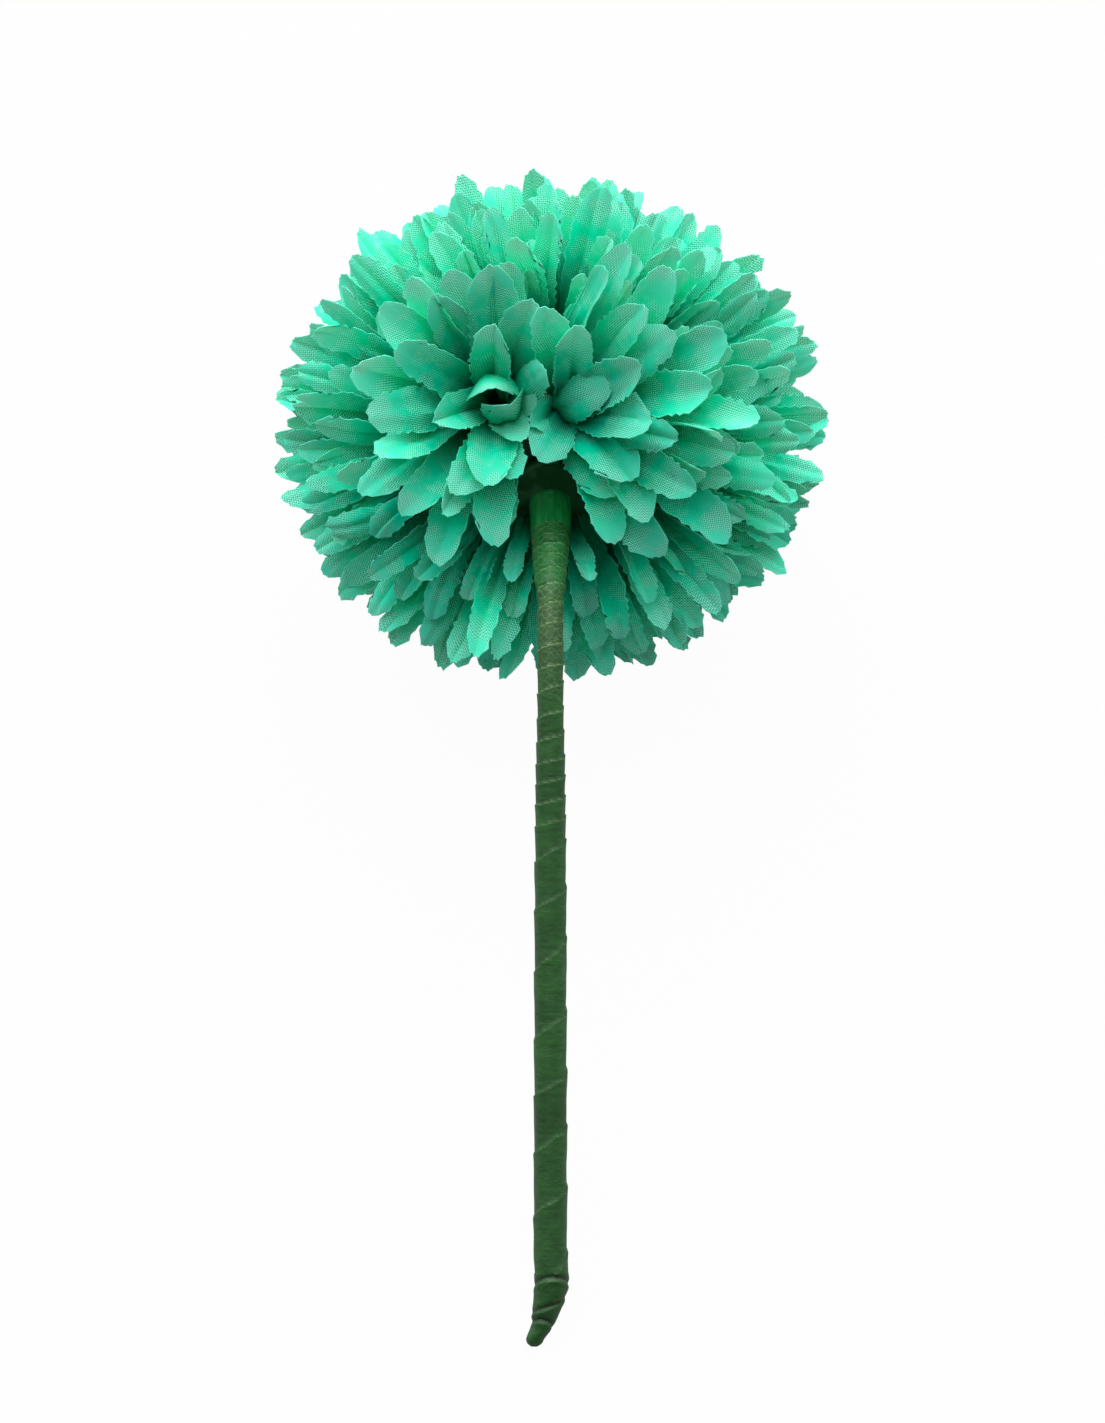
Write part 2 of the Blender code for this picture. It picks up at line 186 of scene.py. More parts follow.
LEFT_PETALS = (
    Placed(-4.4, -3.6, 0.72, 5.6, 60),
    Placed(-4.9, -9.0, 0.78, 5.6, 70, 15),
    Placed(-8.7, 4.0, 0.81, 7.6, -75, looks=-85, cup=0.75, crease=0.0, blunt=0.45),
    Placed(-6.6, 1.7, 0.78, 7.2, -60, looks=112, cup=0.7, crease=0.0, blunt=0.6),
    Placed(-0.8, 6.6, 0.85, 5.2, 25, -15, cup=-0.5, blunt=1.3),
    Placed(-2.2, 2.6, 0.7, 5.4, 40, 10, cup=-0.2),
    Placed(-17.3, -0.6, 0.85, 6.2, 55, 10, cup=0.35, crease=0.5, blunt=1.4),
    Placed(-8.3, 13.2, 0.88, 6.2, 45, -20, cup=0.5),
    Placed(-2.9, 16.8, 0.9, 7.0, 45, crease=0.4),
    Placed(-9.8, -10.2, 0.86, 7.2, 70),
    Placed(-14.0, -11.6, 0.88, 5.8, 65, -10),
    Placed(-9.1, 22.0, 0.96, 8.0, 50, crease=0.5),
    Placed(-14.1, 21.6, 0.95, 6.8, 45, -10),
    Placed(-6.3, 22.7, 0.94, 5.8, 40, 10),
    Placed(-16.7, 17.9, 0.93, 6.0, 40, -15, cup=0.3),
    Placed(-20.5, 20.5, 0.99, 6.2, 40, -25, cup=0.3),
    Placed(-25.3, 15.9, 1.0, 7.2, 50),
    Placed(-22.5, 10.5, 0.96, 6.2, 50, -10),
    Placed(-30.1, 8.7, 1.0, 6.6, 45, -15, cup=0.5, curl=0.6),
    Placed(-27.2, 0.6, 1.0, 7.0, 50, cup=-0.2),
    Placed(-25.3, -7.3, 0.97, 6.0, 45, 30, curl=0.3),
    Placed(-22.0, -14.5, 0.98, 6.0, 45, cup=0.3, blunt=1.4),
    Placed(-28.0, -11.5, 1.0, 6.0, 45, 20),
    Placed(-16.8, -14.2, 0.9, 5.0, 45, -25, cup=0.4, curl=0.2, blunt=1.4),
    Placed(-8.8, -18.9, 0.88, 6.0, 60),
    Placed(-7.5, -17.2, 0.81, 5.4, 60, 5),
    Placed(-17.5, -21.5, 0.96, 6.0, 50, 10),
)

# Rows of petals spread over an arc round the head as the viewer sees it: (share of the head's outline,
# tip's depth towards the viewer in mm, number, first and last angle, width in mm, least bend in radians)
RIM_ROWS = (
    (1.0, 0.0, 50, 0, 360, 5.0, 0.15),
    (0.97, 4.0, 20, -172, -8, 4.5, 0.5),
    (0.9, 9.0, 15, -168, -12, 4.4, 0.7),
    (0.78, 13.0, 8, -158, -22, 4.5, 0.8),
    (0.63, 16.0, 4, -140, -40, 4.6, 0.8),
    (0.74, 22.0, 9, 25, 155, 5.0, 0.3),
    (0.58, 25.0, 8, 20, 160, 5.0, 0.3),
)
# Below the hearts, where those rows lie, no cluster's petal ends further down and nearer than this
FAN_UP = -10.0 * MM
FAN_DEPTH = 9.0 * MM
# Rim petals' spreads: angle in steps, reach, depth in mm and turn of the face in radians
RIM_JITTER = 0.3
RIM_REACH_SPREAD = (0.97, 1.01)
RIM_DEPTH_SPREAD = (-3, 3)
RIM_TURN_SPREAD = (-0.5, 0.5)
# Swell of the outline's bottom, roots' lean to the viewer, and what short rows add or take off
LOW_SWELL = 0.035
RIM_LEAN = 0.4
RIM_ROOT = 0.9
# Below the head's middle, tips of rows with less than this share keep clear of the stem
STEM_ROWS = 0.8
STEM_CLEARANCE = 5.8 * MM

# Green moulding
BALL_RADIUS = 11.6 * MM
NECK_RADIUS = 5.0 * MM
NECK_START = 10.8 * MM
COLLAR_RADIUS = 6.3 * MM
COLLAR_BASE = 12.9 * MM
COLLAR_RIM = 13.8 * MM
COLLAR_LOBES = 5
LOBE_SHARE = 0.05
TUBE_START = 16.0 * MM
TUBE_LIP = 0.35 * MM
TUBE_RADIUS = 3.18 * MM
TUBE_SHOULDER = 21.5 * MM
TUBE_SHOULDER_RADIUS = 3.0 * MM
TUBE_END = 30.5 * MM
TUBE_END_RADIUS = 1.7 * MM
GATE_MARK_PLACE = 16.9 * MM
GATE_MARK_RADIUS = 0.28 * MM
GATE_MARK_DEPTH = 0.3 * MM

# Stem
WIRE_RADIUS = 1.1 * MM
WIRE_TOP = 24.5 * MM
FIT_GAP = 0.3 * MM
TAPE_TOP = TUBE_SHOULDER + FIT_GAP
STEM_BEND_START = 31.0 * MM
STEM_BEND_RADIUS = 29.0 * MM
STEM_DROP = radians(27.4)
TAIL_LENGTH = 11.0 * MM
TAIL_END_HEIGHT = 0.45 * MM
# Outer size of the tape: (distance down it, radius)
STEM_PROFILE = in_metres((
    (0.0, 2.95), (2.5, 2.80), (6.5, 2.55), (10.5, 2.20), (14.0, 1.88),
    (30.0, 1.92), (40.0, 2.20), (58.0, 2.36), (90.0, 2.44), (108.0, 2.50),
))

# Photo's view: its frame, the head's middle in it, and the scale there
PHOTO_WIDTH = 1105
PHOTO_HEIGHT = 1423
HEAD_PIXEL = (550.5, 425.0)
PIXELS_PER_METRE = 6550.0
VIEW_RISE = radians(63.5)
VIEW_DISTANCE = 1.0

AXIS = Vector((0.0, -cos(SOCKET_RISE), sin(SOCKET_RISE)))
ACROSS = Vector((1.0, 0.0, 0.0))
UPWARD = Vector((0.0, sin(SOCKET_RISE), cos(SOCKET_RISE)))
TO_VIEWER = Vector((0.0, -cos(VIEW_RISE), sin(VIEW_RISE)))
VIEW_UP = Vector((0.0, sin(VIEW_RISE), cos(VIEW_RISE)))
# Petals lie over each other like shingles round this direction, which their faces turn to
SHINGLE_POLE = (AXIS + 0.8 * TO_VIEWER).normalized()
LAID_BACK = radians(15)


def head_centre():
    """Middle of the head: over the wire's top end, which the solids' box gives, along the socket."""
    low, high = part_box("stem_wire")
    along = high.y + WIRE_TOP * cos(SOCKET_RISE) - WIRE_RADIUS * sin(SOCKET_RISE)
    flat = HEAD_POLAR_RADIUS * AXIS.z
    round_part = HEAD_RADIUS * sqrt(1.0 - AXIS.z ** 2)
    height = hypot(flat, round_part) - HEAD_PRESSED_FLAT
    return Vector(((low.x + high.x) / 2, along, height))


CENTRE = head_centre()


def between(points, place):
    """Value at a place on a line of (place, value) points."""
    if place <= points[0][0]:
        return points[0][1]
    for (a, low), (b, high) in zip(points, points[1:]):
        if place <= b:
            return low + (high - low) * (place - a) / (b - a)
    return points[-1][1]


def eased(share):
    """Share from 0 to 1, slow at both ends."""
    share = min(1.0, max(0.0, share))
    return share * share * (3 - 2 * share)


# Shader trees

class Tree:
    """Builds a node tree from left to right. An input is a socket, or a plain value."""

    def __init__(self, tree):
        self.tree = tree

    def put(self, socket, value):
        if isinstance(value, bpy.types.NodeSocket):
            self.tree.links.new(value, socket)
        elif value is not None:
            socket.default_value = value

    def node(self, kind, values=(), **settings):
        made = self.tree.nodes.new(kind)
        for name, value in settings.items():
            setattr(made, name, value)
        for name, value in dict(values).items():
            self.put(made.inputs[name], value)
        return made

    def maths(self, operation, *values):
        made = self.node("ShaderNodeMath", operation=operation)
        for socket, value in zip(made.inputs, values):
            self.put(socket, value)
        return made.outputs[0]

    def times(self, first, second):
        return self.maths("MULTIPLY", first, second)

    def sloped(self, value, slope, start):
        """Value times a slope, plus a start."""
        return self.maths("MULTIPLY_ADD", value, slope, start)

    def mixed(self, share, first, second):
        """Colour between two others."""
        made = self.node("ShaderNodeMix", data_type="RGBA")
        for number, value in ((0, share), (6, first), (7, second)):
            self.put(made.inputs[number], value)
        return made.outputs[2]

    def scaled(self, colour, tone):
        """Colour made darker or brighter by a tone."""
        made = self.node("ShaderNodeVectorMath", {"Vector": colour, "Scale": tone}, operation="SCALE")
        return made.outputs[0]

    def spread(self, value, low, high, to_low=0.0, to_high=1.0):
        """Value mapped smoothly from one range to another and clamped there."""
        ends = {"Value": value, "From Min": low, "From Max": high, "To Min": to_low, "To Max": to_high}
        return self.node("ShaderNodeMapRange", ends, interpolation_type="SMOOTHSTEP").outputs[0]

    def noise(self, place, scale, detail=2.0, roughness=0.5):
        values = {"Vector": place, "Scale": scale, "Detail": detail, "Roughness": roughness}
        return self.node("ShaderNodeTexNoise", values).outputs["Fac"]

    def streaked(self, place, scales, detail=2.0, roughness=0.5):
        """Noise with a scale of its own along each axis."""
        stretched = self.node("ShaderNodeMapping", {"Vector": place, "Scale": scales}).outputs[0]
        return self.noise(stretched, 1.0, detail, roughness)

    def place(self):
        return self.node("ShaderNodeTexCoord").outputs["Object"]

    def parts(self, vector):
        made = self.node("ShaderNodeSeparateXYZ", {"Vector": vector}).outputs
        return made["X"], made["Y"], made["Z"]

    def carried(self, name):
        """Attribute that the mesh carries."""
        return self.node("ShaderNodeAttribute", attribute_name=name).outputs

    def clouded(self, place, scale, depth):
        """Cloudy tone round 1, from the mottling group."""
        values = {"Place": place, "Scale": scale, "Depth": depth}
        return self.node("ShaderNodeGroup", values, node_tree=MOTTLING).outputs["Tone"]

    def principled(self, colour, roughness, normal=None, more=()):
        """Surface of a colour, roughness and normal, with more of its inputs by their names."""
        values = {"Base Color": colour, "Roughness": roughness, "Normal": normal, **dict(more)}
        return self.node("ShaderNodeBsdfPrincipled", values).outputs[0]

    def bumped(self, height, strength, depth):
        """Normal of a surface that a height raises by up to a depth."""
        values = {"Height": height, "Strength": strength, "Distance": depth}
        return self.node("ShaderNodeBump", values).outputs[0]


def new_group(name, inputs, outputs):
    """Empty shader group's tree and ends. An input without a value is a vector, all else is a number."""
    group = bpy.data.node_groups.new(name, "ShaderNodeTree")
    for label, value in inputs.items():
        kind = "NodeSocketVector" if value is None else "NodeSocketFloat"
        socket = group.interface.new_socket(label, in_out="INPUT", socket_type=kind)
        if value is not None:
            socket.default_value = value
    for label in outputs:
        group.interface.new_socket(label, in_out="OUTPUT", socket_type="NodeSocketFloat")
    tree = Tree(group)
    return tree, tree.node("NodeGroupInput").outputs, tree.node("NodeGroupOutput").inputs


# Weave: its threads' pitch and slow wander, and patches of it where the threads catch light, which get
# painted glints and stand up more
THREAD_PITCH = 0.48 * MM
THREAD_WANDER = 2.6
WANDER_SCALE = 700.0
PATCH_SCALE = 240.0
PATCH_EDGE = (0.4, 0.58)
CATCHING_HEIGHT = (0.45, 0.95)
RIB_SHARE = 0.3
FLAT_RELIEF = 0.25


def woven_threads():
    """Woven cloth on flat coordinates in metres: its height, and where threads catch light, as a mask for
    painted glints.
    """
    tree, given, out = new_group("woven threads", {"Flat": None, "Pitch": THREAD_PITCH}, ("Height", "Catch"))
    wander = tree.times(tree.noise(given["Flat"], WANDER_SCALE, 1.0), THREAD_WANDER)
    aside, along, _ = tree.parts(given["Flat"])
    turn = tree.maths("DIVIDE", 2 * pi, given["Pitch"])
    weft = tree.sloped(along, turn, wander)
    warp = tree.times(aside, turn)
    thread = tree.maths("SINE", tree.maths("ADD", weft, tree.times(warp, 0.5)))
    cross = tree.maths("SINE", tree.maths("SUBTRACT", warp, tree.times(weft, 0.5)))
    height = tree.sloped(tree.times(thread, cross), 0.5, 0.5)
    ribs = tree.sloped(thread, 0.5, 0.5)
    patches = tree.spread(tree.noise(given["Flat"], PATCH_SCALE, 3.0, 0.6), *PATCH_EDGE)
    tree.put(out["Catch"], tree.times(patches, tree.spread(height, *CATCHING_HEIGHT)))
    woven = tree.sloped(height, 1 - RIB_SHARE, tree.times(ribs, RIB_SHARE))
    relief = tree.spread(patches, 0, 1, FLAT_RELIEF, 1.0)
    raised = tree.times(tree.maths("SUBTRACT", woven, 0.5), relief)
    tree.put(out["Height"], tree.maths("ADD", raised, 0.5))
    return tree.tree


def fine_ridges():
    """Two crossing sets of stretched, wandering ridges on flat coordinates in metres."""
    sizes = {"Flat": None, "Pitch": 1.0 * MM, "Lean": 0.6, "Wander": 20.0, "Narrowness": 0.86}
    tree, given, out = new_group("fine ridges", sizes, ("Ridge",))
    wander = tree.times(tree.noise(given["Flat"], 420.0, 3.0, 0.6), given["Wander"])
    across, along, _ = tree.parts(given["Flat"])
    turn = tree.maths("DIVIDE", 2 * pi, given["Pitch"])
    ridges = []
    for way in (1.0, -1.0):
        aside = tree.times(tree.times(across, given["Lean"]), way)
        place = tree.sloped(tree.maths("ADD", along, aside), turn, wander)
        ridges.append(tree.spread(tree.maths("SINE", place), given["Narrowness"], 1.0))
    tree.put(out["Ridge"], tree.maths("MAXIMUM", *ridges))
    return tree.tree


def mottling():
    """Slow cloudy variation round 1, for tone and gloss."""
    tree, given, out = new_group("mottling", {"Place": None, "Scale": 200.0, "Depth": 0.2}, ("Tone",))
    cloud = tree.maths("SUBTRACT", tree.noise(given["Place"], given["Scale"], 3.0, 0.55), 0.5)
    tree.put(out["Tone"], tree.sloped(cloud, tree.times(given["Depth"], 2.0), 1.0))
    return tree.tree


WOVEN_THREADS = woven_threads()
FINE_RIDGES = fine_ridges()
MOTTLING = mottling()


def material(look):
    """Material named for a look, which builds its surface in an empty tree."""
    made = bpy.data.materials.new(look.__name__)
    made.use_nodes = True
    made.node_tree.nodes.clear()
    tree = Tree(made.node_tree)
    tree.node("ShaderNodeOutputMaterial", {"Surface": look(tree)})
    return made


# Petal colours, from the deep base, its own dye darkened further with painted shade, to the pale tip, and of
# the light that comes through
CLOTH_BASE_AND_PAINTED_SHADE = (0.0, 0.25, 0.115, 1)
CLOTH_MIDDLE = (0.0, 0.88, 0.60, 1)
CLOTH_TIP = (0.10, 0.93, 0.68, 1)
CLOTH_PAINTED_GLINT = (0.62, 1.0, 0.88, 1)
CLOTH_FRAY = (0.20, 1.0, 0.80, 1)
CLOTH_THROUGH = (0.76, 0.80, 0.72, 1)
# Shares of the petal's length over which each of them comes in
MIDDLE_COMES = (0.25, 0.82)
TIP_COMES = (0.7, 1.0)
PAINTED_GLINTS_COME = (0.4, 0.88)
FRAY_COMES = (0.3, 0.8, 0.1, 0.75)
PAINTED_THREAD_SHADE_COMES = (0.35, 0.9, 0.15, 0.9)
PALE_LIGHT_COMES = (0.72, 1.0, 0.0, 0.7)
FRAY_WIDTH = 0.22 * MM
LIGHT_THROUGH = 0.45


def petal_cloth(tree):
    """Mint woven satin that lets light through, deep at the base from its dye and painted shade, paler at
    the tip with painted glints.
    """
    flat = tree.node("ShaderNodeUVMap", uv_map="cloth").outputs["UV"]
    along, edge, chance = tree.parts(tree.carried("petal")["Vector"])
    threads = tree.node("ShaderNodeGroup", {"Flat": flat}, node_tree=WOVEN_THREADS).outputs
    stain = tree.times(along, tree.clouded(flat, 160.0, 0.16))
    # The deep base is the cloth's own dye, darkened further with painted shade towards the petal's root.
    colour = tree.mixed(tree.spread(stain, *MIDDLE_COMES), CLOTH_BASE_AND_PAINTED_SHADE, CLOTH_MIDDLE)
    colour = tree.mixed(tree.spread(stain, *TIP_COMES), colour, CLOTH_TIP)
    # Painted glints: pale colour on the raised threads, in patches towards the tip.
    painted_glint = tree.times(threads["Catch"], tree.spread(along, *PAINTED_GLINTS_COME))
    colour = tree.mixed(painted_glint, colour, CLOTH_PAINTED_GLINT)
    frayed = tree.times(tree.spread(edge, FRAY_WIDTH, 0.0), tree.spread(along, *FRAY_COMES))
    colour = tree.mixed(frayed, colour, CLOTH_FRAY)
    # Painted highlight and shade on the weave: raised threads lighter, the gaps between them darker.
    relief = tree.maths("SUBTRACT", threads["Height"], 0.5)
    relief = tree.times(relief, tree.spread(along, *PAINTED_THREAD_SHADE_COMES))
    tone = tree.sloped(chance, 0.24, 0.88)
    colour = tree.scaled(colour, tree.sloped(relief, tone, tone))
    gloss = tree.sloped(threads["Catch"], -0.16, 0.6)
    normal = tree.bumped(threads["Height"], 0.9, 0.15 * MM)
    satin = tree.principled(colour, gloss, normal, {"Specular IOR Level": 0.03})
    glow = tree.mixed(tree.spread(along, *PALE_LIGHT_COMES), colour, CLOTH_THROUGH)
    through = tree.node("ShaderNodeBsdfTranslucent", {"Color": glow})
    both = {0: LIGHT_THROUGH, 1: satin, 2: through.outputs[0]}
    return tree.node("ShaderNodeMixShader", both).outputs[0]


CORE_GREEN = (0.0, 0.05, 0.02)


def core_cloth(tree):
    """Deep green of the stacked cloth between the petals' bases."""
    tone = tree.clouded(tree.place(), 450.0, 0.6)
    return tree.principled(tree.scaled(CORE_GREEN, tone), 0.7, tree.bumped(tone, 0.6, 0.4 * MM))


# The collar's deep green is painted shade, where the petals hang over it; the tube keeps the moulding's own
# green.
COLLAR_GREEN_IN_PAINTED_SHADE = (0.004, 0.085, 0.02, 1)
COLLAR_BLOTCH = (0.04, 0.16, 0.06, 1)
TUBE_GREEN = (0.003, 0.24, 0.048, 1)
TUBE_FLOW = (0.015, 0.34, 0.085, 1)
# Scale of the flow marks along the tube, and where its colour starts, out from the head's middle
FLOW_SCALE = (2200.0, 110.0, 2200.0)
TUBE_COMES = (TUBE_START - 0.25 * MM, TUBE_START - 0.1 * MM)


def moulded_plastic(tree):
    """Satin green moulding: a collar darkened with painted shade and blotched, and a brighter tube with
    faint flow marks.
    """
    place = tree.place()
    flow = tree.streaked(place, FLOW_SCALE)
    tube = tree.mixed(tree.spread(flow, 0.4, 0.75), TUBE_GREEN, TUBE_FLOW)
    blotches = tree.spread(tree.noise(place, 260.0, 1.0), 0.5, 0.66)
    collar = tree.mixed(blotches, COLLAR_GREEN_IN_PAINTED_SHADE, COLLAR_BLOTCH)
    on_tube = tree.spread(tree.carried("out")["Fac"], *TUBE_COMES)
    colour = tree.scaled(tree.mixed(on_tube, collar, tube), tree.clouded(place, 300.0, 0.25))
    gloss = tree.sloped(on_tube, -0.35, 0.75)
    return tree.principled(colour, gloss, tree.bumped(flow, 0.25, 0.08 * MM), {
        "Specular IOR Level": 0.3,
        "Subsurface Weight": 0.08,
        "Subsurface Radius": (0.4 * MM, 1.2 * MM, 0.6 * MM),
        "Subsurface Scale": 1.0,
    })


TAPE_DEEP = (0.016, 0.080, 0.016, 1)
TAPE_OLIVE = (0.018, 0.070, 0.015, 1)
TAPE_BRIGHT = (0.004, 0.15, 0.03, 1)
TAPE_EDGE = (0.16, 0.30, 0.11, 1)
TAPE_PALE = (0.13, 0.26, 0.09, 1)
TAPE_SHEEN = (0.55, 0.8, 0.35, 1)
# Distances down the tape over which its colours and marks change, and each mark's strength there
OLIVE_COMES = (8.0 * MM, 15.0 * MM)
DEEP_COMES = (16.0 * MM, 32.0 * MM)
TAPE_DARKENS = (66.0 * MM, 92.0 * MM, 1.0, 0.85)
RIDGES_FADE = (38.0 * MM, 8.0 * MM, 0.06, 0.6)
EDGES_FADE = (50.0 * MM, 5.0 * MM, 0.25, 0.8)
EDGE_LINE = (0.42 * MM, 0.12 * MM)
# Crinkles across the tape: their scale on it and how far they change its tone, and how dark the painted
# shade in the tail's folds and at the tape edges is
CRINKLE_SCALE = (420.0, 1500.0, 1.0)
CRINKLE_TONES = (0.3, 0.7, 0.78, 1.22)
PAINTED_SHADE_DARKNESS = 0.75


def stretched_tape(tree):
    """Waxed floral tape: bright over the socket, olive below it, then deep green, with fine ridges."""
    flat = tree.node("ShaderNodeUVMap", uv_map="tape").outputs["UV"]
    down, from_edge, chance = tree.parts(tree.carried("wound")["Vector"])
    ridges = tree.node("ShaderNodeGroup", {"Flat": flat}, node_tree=FINE_RIDGES).outputs["Ridge"]
    clouds = tree.clouded(flat, 260.0, 0.45)
    crinkle = tree.streaked(flat, CRINKLE_SCALE, 3.0, 0.6)
    colour = tree.mixed(tree.spread(down, *OLIVE_COMES), TAPE_BRIGHT, TAPE_OLIVE)
    colour = tree.mixed(tree.spread(down, *DEEP_COMES), colour, TAPE_DEEP)
    # Painted shade in the tail's folds and at the foot of each tape edge's step.
    painted_crease_shade = tree.sloped(tree.carried("painted_crease_shade")["Fac"], -PAINTED_SHADE_DARKNESS, 1.0)
    for tone in (tree.spread(down, *TAPE_DARKENS), clouds, tree.spread(crinkle, *CRINKLE_TONES), painted_crease_shade):
        colour = tree.scaled(colour, tone)
    fine = tree.times(ridges, tree.spread(down, *RIDGES_FADE))
    colour = tree.mixed(fine, colour, TAPE_PALE)
    edge_line = tree.times(tree.spread(from_edge, *EDGE_LINE), tree.spread(down, *EDGES_FADE))
    colour = tree.mixed(edge_line, colour, TAPE_EDGE)
    height = tree.maths("ADD", tree.times(crinkle, 1.4), fine)
    colour = tree.scaled(colour, tree.sloped(chance, 0.2, 0.9))
    gloss = tree.sloped(clouds, 0.2, 0.32)
    return tree.principled(colour, gloss, tree.bumped(height, 0.5, 0.1 * MM), {
        "Specular IOR Level": 0.35,
        "Sheen Weight": 0.06,
        "Sheen Roughness": 0.25,
        "Sheen Tint": TAPE_SHEEN,
    })


WIRE_GREEN = (0.03, 0.12, 0.04)


def green_wire_coat(tree):
    """Paper-wrapped green wire, hidden in the tape."""
    tone = tree.clouded(tree.place(), 900.0, 0.3)
    return tree.principled(tree.scaled(WIRE_GREEN, tone), 0.4)


# Meshes

def set_out(name, data):
    """Object of its data, in the scene."""
    made = bpy.data.objects.new(name, data)
    bpy.context.scene.collection.objects.link(made)
    return made


def finished(name, shape, finish, stands_for, smooth_below=40):
    """Object from a bmesh, riding on the body and standing for a solid. A cloth's free edges are sharp."""
    mesh = bpy.data.meshes.new(name)
    shape.edges.index_update()
    free_edges = [edge.index for edge in shape.edges if edge.is_boundary]
    shape.to_mesh(mesh)
    shape.free()
    mesh.materials.append(finish)
    made = set_out(name, mesh)
    mesh.shade_smooth()
    mesh.set_sharp_from_angle(angle=radians(smooth_below))
    for index in free_edges:
        mesh.edges[index].use_edge_sharp = True
    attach(made, "root")
    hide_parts(stands_for)
    return made


@dataclass
class Petal:
    """One cut of cloth: where it grows, and how it is cut and formed. Angles are in radians."""
    root: Vector
    way: Vector
    face: Vector
    length: float
    width: float
    cup: float
    crease: float
    bend: float
    curl: float
    twist: float
    flutter: float
    pleat: float
    slant: float
    blunt: float
    chance: float


def half_width(petal, place):
    """Half of the cut's width at a place along it, from 0 to 1."""
    if place < WIDEST_PLACE:
        share = BASE_SHARE + (1 - BASE_SHARE) * eased(place / WIDEST_PLACE) ** BASE_FLARE
    else:
        share = 1 - TIP_NARROWING * ((place - WIDEST_PLACE) / (1 - WIDEST_PLACE)) ** 2
    return share * petal.width / 2


def cut_place(petal, u, v):
    """Flat place of a grid point on the cut, (aside, along) in metres, with its round tip."""
    tip = TIP_HEIGHT * petal.width / petal.length
    dome = (1 - (TIP_DOME * u) ** 2) ** (0.5 * petal.blunt)
    place = v * (1 - tip * (1 - dome)) + petal.slant * u * v ** 3
    swell = 1 + WIDTH_WANDER * noise.noise(Vector((4 * place, 40 * petal.chance, u)))
    return u * half_width(petal, place) * swell, place


def formed(petal, aside, place, wave):
    """Place in space of a flat place on the cut, once arched, cupped, creased, twisted and crumpled."""
    half = max(half_width(petal, place), 0.1 * MM)
    u = aside / half
    bent = petal.bend * place
    run = petal.length * place
    forward, lift = run, 0.0
    if abs(bent) > 0.01:
        forward = run * sin(bent) / bent
        lift = run * (1 - cos(bent)) / bent
    curled = max(0.0, (place - CURL_START) / (1 - CURL_START))
    local = petal.curl * petal.length * curled ** 2 * CURL_DEPTH
    local += petal.cup * half * u * u
    local -= petal.crease * half * exp(-((u / CREASE_WIDTH) ** 2)) * (1 - CREASE_FADE * place)
    local += petal.flutter * half * abs(u) * sin(FLUTTER_WAVES * place + wave + (0 if u > 0 else 2))
    local += petal.pleat * half * cos(2 * pi * u + wave) * eased(1.3 - place)
    rough = noise.noise(Vector((aside / MM * CRUMPLE_SCALE[0], run / MM * CRUMPLE_SCALE[1], 7 * wave)))
    local += CRUMPLE * rough * eased(place * 2)
    turn = petal.twist * place ** 2
    side = aside * cos(turn) - local * sin(turn)
    height = aside * sin(turn) + local * cos(turn)
    across = petal.way.cross(petal.face)
    along_way = forward - sin(bent) * height
    along_face = lift + cos(bent) * height
    return petal.root + petal.way * along_way + petal.face * along_face + across * side


def above_floor(point):
    """Point pressed up smoothly where it would come close to the floor."""
    if point.z < FLOOR_SOFTNESS:
        point.z = FLOOR_SOFTNESS * exp((point.z - FLOOR_SOFTNESS) / FLOOR_SOFTNESS)
    return point


def add_petal(cloth, petal, layers, chance):
    """One petal as a grid in the cluster's mesh, cut with teeth along its edge and formed."""
    grown = bmesh.ops.create_grid(cloth, x_segments=PETAL_COLUMNS, y_segments=PETAL_ROWS, size=1.0)
    teeth = [chance.uniform(-1, 1) for _ in range(3 * (PETAL_ROWS + 1))]
    wave = chance.uniform(0, 2 * pi)
    cloth_turn = Matrix.Rotation(chance.uniform(-CLOTH_TURN, CLOTH_TURN), 2)
    shift = Vector((chance.uniform(0, CLOTH_SHIFT), chance.uniform(0, CLOTH_SHIFT)))
    for corner in grown["verts"]:
        u = corner.co.x
        row = round((corner.co.y + 1) / 2 * PETAL_ROWS)
        column = round((u + 1) / 2 * PETAL_COLUMNS)
        v = (row / PETAL_ROWS) ** ROW_CROWDING
        aside, place = cut_place(petal, u, v)
        if v > TOOTH_START and abs(u) > 0.99:
            tooth = teeth[row] if u > 0 else teeth[row + PETAL_ROWS]
            aside += copysign(TOOTH_DEPTH, u) * ((-1) ** row * TOOTH_ZIGZAG + tooth)
        if row == PETAL_ROWS:
            tooth = teeth[column + 2 * PETAL_ROWS]
            place += TOOTH_DEPTH / petal.length * (TIP_TEETH * ((-1) ** column + tooth))
        point = formed(petal, aside, place, wave)
        to_edge = min(half_width(petal, place) * (1 - abs(u)), petal.length * (1 - v))
        corner[layers["petal"]] = Vector((place, to_edge, petal.chance))
        flat = Vector((aside, place * petal.length))
        flat.rotate(cloth_turn)
        for loop in corner.link_loops:
            loop[layers["cloth"]].uv = flat + shift
        corner.co = above_floor(point)


def direction(from_socket, azimuth):
    """Unit vector at an angle from the socket's axis, at an azimuth counted from upward towards +X."""
    sideways = cos(azimuth) * UPWARD + sin(azimuth) * ACROSS
    return cos(from_socket) * AXIS + sin(from_socket) * sideways


def head_reach(offset):
    """Distance from the head's centre to the ball of petal tips, along an offset."""
    way = offset.normalized()
    along = way.dot(AXIS)
    aside = sqrt(max(0.0, 1.0 - along ** 2))
    return 1.0 / hypot(along / HEAD_POLAR_RADIUS, aside / HEAD_RADIUS)


